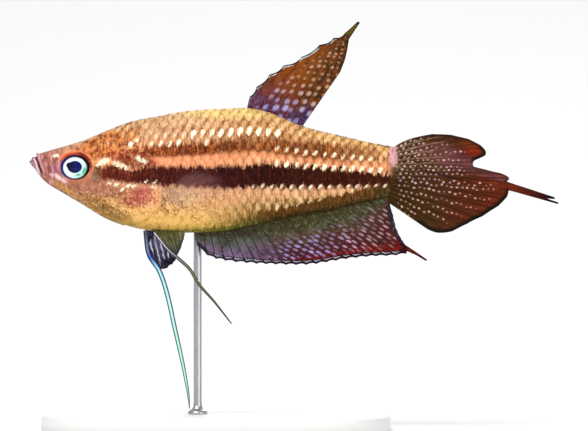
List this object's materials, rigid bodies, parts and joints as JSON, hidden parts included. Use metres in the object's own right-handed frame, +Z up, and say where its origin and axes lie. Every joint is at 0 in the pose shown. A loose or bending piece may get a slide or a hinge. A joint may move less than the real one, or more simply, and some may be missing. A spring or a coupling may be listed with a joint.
{
  "type": "sparkling gourami model",
  "caption": "Life-size still model of a sparkling gourami, a slim laterally flattened fish with long ribbed fins and pelvic filaments, held on a low plate by a thin rod.",
  "frame": {"origin": "centre of the bounding box's underside, on the floor under the stand", "axes": "+X from the snout towards the tail filament, +Y towards the fish's right flank, +Z up"},
  "size_m": [0.0548, 0.024, 0.0422],
  "materials": {
    "skin": "satin painted scales, gold and maroon bands along the flank",
    "eyes": "domed, pale iris with a dark pupil",
    "dorsal_fin": "rust membrane with rows of pale spots",
    "anal_fin": "mauve membrane with pale spots and a red and blue margin",
    "caudal_fin": "rust membrane with rows of pale spots",
    "pectoral_fins": "clear, faintly ribbed",
    "pelvic_fins": "dark membrane, blue and olive filaments",
    "stand_base": "satin pale grey",
    "stand_rod": "brushed"
  },
  "bodies": {
    "root": {"head": "skin", "gill_cover_left": "skin", "gill_cover_right": "skin", "torso": "skin", "tail": "skin", "eye_left": "eyes", "eye_right": "eyes", "dorsal_fin": "dorsal_fin", "anal_fin": "anal_fin", "caudal_fin": "caudal_fin", "pectoral_fin_left": "pectoral_fins", "pectoral_fin_right": "pectoral_fins", "pelvic_fin_left": "pelvic_fins", "pelvic_fin_right": "pelvic_fins", "stand_base": "stand_base", "stand_rod": "stand_rod"}
  },
  "joints": []
}
